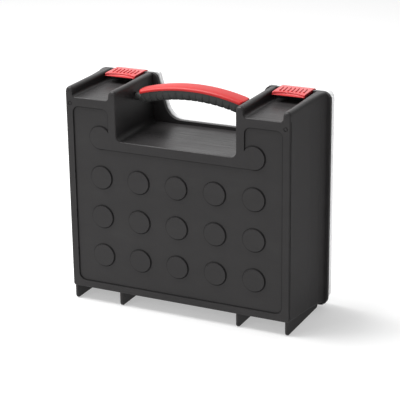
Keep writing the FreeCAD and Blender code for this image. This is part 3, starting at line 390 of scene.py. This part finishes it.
def make_grip():
    """Red top of the handle: a flat-crowned bar with blunt, softly rounded ends."""
    bm = bmesh.new()
    rings = []
    steps = 72
    # stations crowd together at the ends so that the end rounding is smooth
    for i in range(steps + 1):
        t = -math.cos(math.pi * i / steps)
        phi = END * t
        gap = (1.0 - abs(t)) * END * ARCH
        e = min(gap / 0.0020, 1.0)
        soft = 0.0018 * (1.0 - math.sqrt(max(1.0 - (1.0 - e) ** 2, 0.0)))
        half = 0.0130 - soft
        crown = 0.0046 - soft
        ring = []
        n = 32
        for k in range(n + 1):
            a = math.pi * k / n
            c, q = math.cos(a), math.sin(a)
            v = half * math.copysign(abs(c) ** 0.60, c)
            w = 0.0002 + (crown - 0.0002) * abs(q) ** 0.62
            ring.append(on_arch(phi + t * bulge(v), v, w))
        for k in range(1, 8):
            v = -half + 2 * half * k / 8
            ring.append(on_arch(phi + t * bulge(v), v, 0.0001))
        rings.append(ring)
    loft(bm, rings)
    o = new_object("handle_grip_cap", bm, GRIP_RED, "handle", 50.0)
    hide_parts("handle_grip")
    return o


PIVOT_Z = 0.2556


def make_core():
    """Black underside of the handle with rounded finger ribs, and a pivot boss at each end."""
    bm = bmesh.new()
    rings = []
    pitch = 0.0090 / ARCH
    steps = 260
    for i in range(steps + 1):
        t = -1.0 + 2.0 * i / steps
        phi = END * t
        ph = (phi / pitch) % 1.0
        g = min(ph, 1.0 - ph) * pitch * ARCH
        groove = 0.0010 * math.exp(-(g / 0.00090) ** 2)
        if abs(t) > 0.93:
            groove *= max(0.0, (1.0 - abs(t)) / 0.07)
        edge = (1.0 - abs(t)) * END * ARCH
        e = min(edge / 0.003, 1.0)
        shrink = 0.0014 * (1.0 - math.sqrt(max(1.0 - (1.0 - e) ** 2, 0.0)))
        ring = []
        n = 36
        for k in range(n + 1):
            a = math.pi * k / n
            c, q = math.cos(a), math.sin(a)
            d = groove * min(1.0, q * 3.0) + shrink
            v = (0.0126 - d) * math.copysign(abs(c) ** 0.50, c)
            w = -(0.0128 - d) * abs(q) ** 0.66
            ring.append(on_arch(phi, v, w - 0.00005))
        rings.append(ring)
    loft(bm, rings)
    o = new_object("handle_core_ribbed", bm, RUBBER, "handle", 60.0)
    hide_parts("handle_core")
    for side in (-1, 1):
        word = "left" if side < 0 else "right"
        bm = bmesh.new()
        x0, x1, rad = 0.0590, 0.0776, 0.0052
        prof = [(x0, rad * 0.9), (x0 + 0.001, rad), (x1 - 0.0012, rad), (x1 - 0.0004, rad - 0.0004), (x1, rad - 0.0012)]
        loft(bm, [[Vector((side * x, HY + r * math.cos(2 * math.pi * k / 48), PIVOT_Z + r * math.sin(2 * math.pi * k / 48)))
                   for k in range(48)] for x, r in prof])
        new_object("handle_boss_" + word, bm, RUBBER, "handle")
        bm = bmesh.new()
        rings = []
        for k in range(13):
            u = k / 12.0
            x = 0.0590 + 0.0110 * u
            e = min(1.0, (1.0 - u) / 0.35)
            sc = 0.72 + 0.28 * math.sqrt(max(0.0, 1.0 - (1.0 - e) ** 2))
            ring = []
            for q in range(40):
                a = 2 * math.pi * q / 40
                c, w = math.cos(a), math.sin(a)
                ring.append(Vector((side * x, HY + 0.0088 * sc * math.copysign(abs(c) ** 0.55, c),
                                    PIVOT_Z + 0.0002 + 0.0048 * sc * math.copysign(abs(w) ** 0.55, w))))
            rings.append(ring)
        loft(bm, rings)
        new_object("handle_lug_" + word, bm, RUBBER, "handle")
    return o


def make_latch(side):
    """Red lever: straight lower lip, thumb scoop above it, grip ribs on top, barrel at the rear, hook nib below."""
    word = "left" if side < 0 else "right"
    body = "latch_" + word
    cx = side * 0.1116
    half, soft = 0.0208, 0.0008

    def place(dx, y, z):
        return Vector((cx + dx, (y - 56.5) / 1000.0, z / 1000.0))

    def profile(dx):
        t = min(abs(dx) / 0.0194, 1.0)
        k = 5.0 * math.cos(0.5 * math.pi * t) ** 0.9 if t < 1.0 else 0.0
        # underside, barrel, top, then the front: curved upper edge, recessed wall, straight lower lip
        return [(74.3, 269.35), (78, 269.7), (84, 270.1), (92, 270.2), (98.4, 270.2), (99.6, 269.6), (100.6, 267.6), (101.4, 266.2),
                (103, 264.2), (106, 263.1), (108.8, 264.0), (110.4, 266.0), (110.7, 268.2), (110.2, 270.6), (109, 272.4),
                (107, 273.4), (105, 273.7), (101, 273.75), (96, 273.7), (90, 273.6), (86, 273.55), (81.5 + 0.3 * k, 273.45),
                (77.6 + 0.85 * k, 273.3), (75.4 + k, 273.05), (74.7 + 1.02 * k, 272.6), (74.4 + 1.03 * k, 271.9),
                (74.3 + 1.0 * k, 271.2), (74.2 + 0.86 * k, 270.7), (74.1 + 0.40 * k, 270.35), (74.0, 270.1), (73.95, 269.7)]

    bm = bmesh.new()
    rings = []
    stations = []
    for i in range(9):
        stations.append(-half + soft * (1 - math.cos(0.5 * math.pi * i / 8)))
    n = 56
    for i in range(1, n):
        stations.append(-half + soft + (2 * half - 2 * soft) * i / n)
    stations += [-x for x in reversed(stations[:9])]
    for dx in stations:
        pts = profile(dx)
        e = min((half - abs(dx)) / soft, 1.0)
        inset = soft * 1000.0 * (1.0 - math.sqrt(max(1.0 - (1.0 - e) ** 2, 0.0)))
        if inset > 1e-6:
            moved = []
            m = len(pts)
            for q in range(m):
                (ya, za), (y, z), (yb, zb) = pts[q - 1], pts[q], pts[(q + 1) % m]
                ty, tz = yb - ya, zb - za
                ln = math.hypot(ty, tz) or 1.0
                moved.append((y - tz / ln * inset, z + ty / ln * inset))
            pts = moved
        rings.append([place(dx, y, z) for y, z in pts])
    loft(bm, rings)
    o = new_object("latch_%s_lever" % word, bm, LATCH_RED, body, 38.0)
    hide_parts("latch_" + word)
    # ribs, each a low rounded bar
    bm = bmesh.new()
    turn = math.radians(6.0)
    for k in range(-3, 4):
        rings = []
        for i in range(21):
            u = -1.0 + 2.0 * i / 20
            e = min((1.0 - abs(u)) / 0.12, 1.0)
            sc = math.sqrt(max(1.0 - (1.0 - e) ** 2, 0.0)) * 0.9 + 0.1
            ring = []
            for q in range(13):
                a = math.pi * q / 12
                v = 1.15 * sc * math.cos(a)
                h = 1.05 * sc * math.sin(a) if 0 < q < 12 else 0.0
                lx, ly = v, 7.8 * u
                ring.append(place((k * 5.0 + lx * math.cos(turn) - ly * math.sin(turn)) / 1000.0, 90.0 + lx * math.sin(turn) + ly * math.cos(turn), 273.5 + h))
            for q in range(1, 4):
                v = -1.15 * sc + 2.3 * sc * q / 4
                lx, ly = v, 7.8 * u
                ring.append(place((k * 5.0 + lx * math.cos(turn) - ly * math.sin(turn)) / 1000.0, 90.0 + lx * math.sin(turn) + ly * math.cos(turn), 273.2))
            rings.append(ring)
        loft(bm, rings)
    new_object("latch_%s_ribs" % word, bm, LATCH_RED, body, 50.0)
    # hook nib under the lever
    bm = bmesh.new()
    rings = []
    for i in range(13):
        u = -1.0 + 2.0 * i / 12
        e = min((1.0 - abs(u)) / 0.15, 1.0)
        r = 0.6 * (1.0 - math.sqrt(max(1.0 - (1.0 - e) ** 2, 0.0)))
        rings.append([place(0.009 * u, y, z) for y, z in ((88.4 + r, 270.6), (88.4 + r, 266.0), (88.8 + r, 265.4 + r), (89.4, 265.2 + r),
                                                         (90.4, 265.2 + r), (90.9 - r, 265.5 + r), (91.2 - r, 266.2), (91.2 - r, 270.6))])
    loft(bm, rings)
    new_object("latch_%s_nib" % word, bm, LATCH_RED, body, 50.0)
    return o


# ------------------------------------------------------------------ tower tops
SEAM, CREST, FRONT = 261.6, 273.0, 4.5


def outer_wall(y):
    """Half width of the case at the depth y, in millimetres from the disc face."""
    for (y0, h0), (y1, h1) in zip(((0, 145.2), (60, 146.3), (85, 148.4)), ((60, 146.3), (85, 148.4), (98, 151.6))):
        if y <= y1:
            return h0 + (h1 - h0) * (y - y0) / (y1 - y0)
    return 151.6


def cheek_section(xa, xb, crest, ra, rb, toe):
    """Round-topped wall between xa and xb; toe says on which side it runs out into the recess floor."""
    pts = []
    room = crest - 265.2
    ra, rb = min(ra, room), min(rb, room)
    foot = [-math.radians(58.2) * (1 - k / 8.0) for k in range(9)]
    if toe < 0:
        pts += [(xa - 4.0 + 4.0 * math.cos(t), 265.0 + 4.0 * math.sin(t)) for t in foot]
    else:
        pts += [(xa, SEAM + (265.0 - SEAM) * k / 8.0) for k in range(9)]
    for k in range(13):
        t = math.pi - 0.5 * math.pi * k / 12
        pts.append((xa + ra + ra * math.cos(t), crest - ra + ra * math.sin(t)))
    for k in range(13):
        t = 0.5 * math.pi * (1 - k / 12)
        pts.append((xb - rb + 0.02 + (rb - 0.02) * math.cos(t), crest - rb + rb * math.sin(t)))
    if toe > 0:
        pts += [(xb + 4.0 - 4.0 * math.cos(t), 265.0 + 4.0 * math.sin(t)) for t in reversed(foot)]
    else:
        pts += [(xb, 265.0 - (265.0 - SEAM) * k / 8.0) for k in range(9)]
    return pts


def turned_corner(p0, p, p1, r, n=14):
    a, b = (Vector(p0) - Vector(p)).normalized(), (Vector(p1) - Vector(p)).normalized()
    half = a.angle(b) / 2.0
    c = Vector(p) + (a + b).normalized() * (r / math.sin(half))
    s0, s1 = Vector(p) + a * (r / math.tan(half)) - c, Vector(p) + b * (r / math.tan(half)) - c
    out = []
    for k in range(n + 1):
        d = (s0 * (1 - k / n) + s1 * (k / n)).normalized()
        out.append(tuple(c + d * r))
    return out


def make_tower_tops():
    """Cheeks with full round crests and rounded fronts, the flange above them, and the catch ribs."""
    bm = bmesh.new()

    def place(side, x, y, z):
        return Vector((side * x / 1000.0, (y - 56.5) / 1000.0, z / 1000.0))

    stations = [FRONT * (1 - math.cos(0.5 * math.pi * k / 12)) for k in range(13)] + [8, 14, 24, 40, 60, 70, 78, 85, 90, 94, 97.4]
    for side in (-1, 1):
        for inner in (True, False):
            rings = []
            for y in stations:
                e = max(0.0, 1.0 - y / FRONT)
                crest = CREST - FRONT * (1.0 - math.sqrt(1.0 - e * e))
                e = max(0.0, 1.0 - y / 1.6)
                inset = 1.6 * (1.0 - math.sqrt(1.0 - e * e))
                if inner:
                    sec = cheek_section(78.0 + inset, 87.5 - inset, crest, 4.0, 4.8 - 2.2 * min(max((y - 40.0) / 40.0, 0.0), 1.0), 1)
                else:
                    wide = outer_wall(y)
                    sec = cheek_section(136.2 + inset, wide - inset, crest, 4.4 - 1.4 * min(max((y - 40.0) / 40.0, 0.0), 1.0), 4.5, -1)
                rings.append([place(side, x, y, z) for x, z in sec])
            loft(bm, rings)
        # the flange above the deck: beside the hand opening, and at the outer corner
        lean = (73.7 - 57.1) / (273.0 - 216.5)
        plates = ([(57.1 + lean * (SEAM - 216.5), SEAM)] + turned_corner((57.1, 216.5), (73.7, CREST), (90.0, CREST), 9.0)
                  + [(90.0, CREST), (90.0, SEAM)],
                  [(133.2, SEAM), (133.2, CREST)] + turned_corner((133.2, CREST), (155.5, CREST), (155.5, SEAM - 4), 10.5) + [(155.5, SEAM)])
        for pts in plates:
            loft(bm, [[place(side, x, y, z) for x, z in pts] for y in (97.0, 102.0)])
        # catch rib: low where the hook passes, higher towards the cheeks
        rings = []
        for x, t in ((87.2, 267.6), (99.4, 267.6), (100.2, 267.3), (101.6, 264.9), (102.2, 264.6), (121.0, 264.6), (121.6, 264.9),
                     (123.0, 267.3), (123.8, 267.6), (136.5, 267.6)):
            rings.append([place(side, x, y, z) for y, z in ((92.0, 260.9), (92.0, t - 0.6), (92.2, t - 0.2), (92.6, t), (94.0, t),
                                                            (94.4, t - 0.2), (94.6, t - 0.6), (94.6, 260.9))])
        loft(bm, rings)
        # low round stud in the dimple at the corner of the face
        rings = []
        for r, y in ((1.85, 1.2), (1.85, 0.45), (1.78, 0.25), (1.55, 0.10), (1.1, 0.03), (0.5, 0.0)):
            rings.append([place(side, 139.6 + r * math.cos(2 * math.pi * k / 28), y, 253.0 + r * math.sin(2 * math.pi * k / 28)) for k in range(28)])
        loft(bm, rings)
    o = new_object("tower_tops_moulded", bm, CASE, "case", 38.0)
    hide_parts("tower_tops")
    return o


make_latch(-1)
make_latch(1)
make_grip()
make_core()
make_tower_tops()

# ------------------------------------------------------------------ stage, light, camera
bm = bmesh.new()
bmesh.ops.create_grid(bm, x_segments=1, y_segments=1, size=30.0)
me = bpy.data.meshes.new("floor")
bm.to_mesh(me)
bm.free()
floor = bpy.data.objects.new("floor", me)
SCENE.collection.objects.link(floor)
fm = Mat("floor_white")
fm.color(fm.ramp(fm.noise(2.0, 2.0), [(0.3, 0.62), (0.7, 0.635)]))
fm.set(Roughness=0.9, Specular_IOR_Level=0.1, Emission_Color=(1.0, 1.0, 1.0, 1.0), Emission_Strength=0.42)
me.materials.append(fm.m)

world = bpy.data.worlds.new("studio")
world.use_nodes = True
wt = world.node_tree
wbg = wt.nodes["Background"]
wbg.inputs["Color"].default_value = (1.0, 1.0, 1.0, 1.0)
# a white room that is dimmer towards the right-hand side
wco = wt.nodes.new("ShaderNodeTexCoord")
wsep = wt.nodes.new("ShaderNodeSeparateXYZ")
wmap = wt.nodes.new("ShaderNodeMapRange")
wmap.inputs["From Min"].default_value = -0.2
wmap.inputs["From Max"].default_value = 0.9
wmap.inputs["To Min"].default_value = 0.42
wmap.inputs["To Max"].default_value = 0.16
wt.links.new(wco.outputs["Generated"], wsep.inputs["Vector"])
wt.links.new(wsep.outputs["X"], wmap.inputs["Value"])
# and a lit backdrop behind, on the left
wback = wt.nodes.new("ShaderNodeMapRange")
wback.inputs["From Min"].default_value = 0.15
wback.inputs["From Max"].default_value = 0.80
wback.inputs["To Max"].default_value = 0.72
wside = wt.nodes.new("ShaderNodeMapRange")
wside.inputs["From Min"].default_value = 0.0
wside.inputs["From Max"].default_value = 0.5
wside.inputs["To Min"].default_value = 1.0
wside.inputs["To Max"].default_value = 0.1
wmul = wt.nodes.new("ShaderNodeMath")
wmul.operation = "MULTIPLY"
wadd = wt.nodes.new("ShaderNodeMath")
wadd.operation = "ADD"
wt.links.new(wsep.outputs["Y"], wback.inputs["Value"])
wt.links.new(wsep.outputs["X"], wside.inputs["Value"])
wt.links.new(wback.outputs["Result"], wmul.inputs[0])
wt.links.new(wside.outputs["Result"], wmul.inputs[1])
wt.links.new(wmap.outputs["Result"], wadd.inputs[0])
wt.links.new(wmul.outputs["Value"], wadd.inputs[1])
wt.links.new(wadd.outputs["Value"], wbg.inputs["Strength"])
SCENE.world = world


def softbox(name, where, target, size, power):
    d = bpy.data.lights.new(name, "AREA")
    d.shape = "RECTANGLE"
    d.size, d.size_y = size
    d.energy = power
    o = bpy.data.objects.new(name, d)
    SCENE.collection.objects.link(o)
    o.location = where
    o.rotation_euler = (Vector(target) - Vector(where)).to_track_quat("-Z", "Y").to_euler()
    return o


softbox("top_soft", (-0.75, -0.10, 1.75), (0, 0, 0.2), (1.2, 1.2), 50.0)
softbox("front_left_soft", (-1.1, -1.9, 1.3), (0, 0, 0.15), (0.6, 0.6), 5.0)

az, el, roll = math.radians(26.1), math.radians(19.36), math.radians(-0.77)
back = Vector((math.sin(az) * math.cos(el), -math.cos(az) * math.cos(el), math.sin(el)))
right = (-back).cross(Vector((0, 0, 1))).normalized()
up = right.cross(-back)
r2 = right * math.cos(roll) + up * math.sin(roll)
u2 = up * math.cos(roll) - right * math.sin(roll)
cam = bpy.data.cameras.new("camera")
cam.sensor_fit = "HORIZONTAL"
cam.sensor_width = 36.0
cam.lens = 133.61
cam.clip_end = 100.0
camera = bpy.data.objects.new("camera", cam)
SCENE.collection.objects.link(camera)
camera.matrix_world = Matrix(((r2.x, u2.x, back.x, 0.7522), (r2.y, u2.y, back.y, -1.5268), (r2.z, u2.z, back.z, 0.7297), (0, 0, 0, 1)))
SCENE.camera = camera
SCENE.view_settings.view_transform = "Standard"
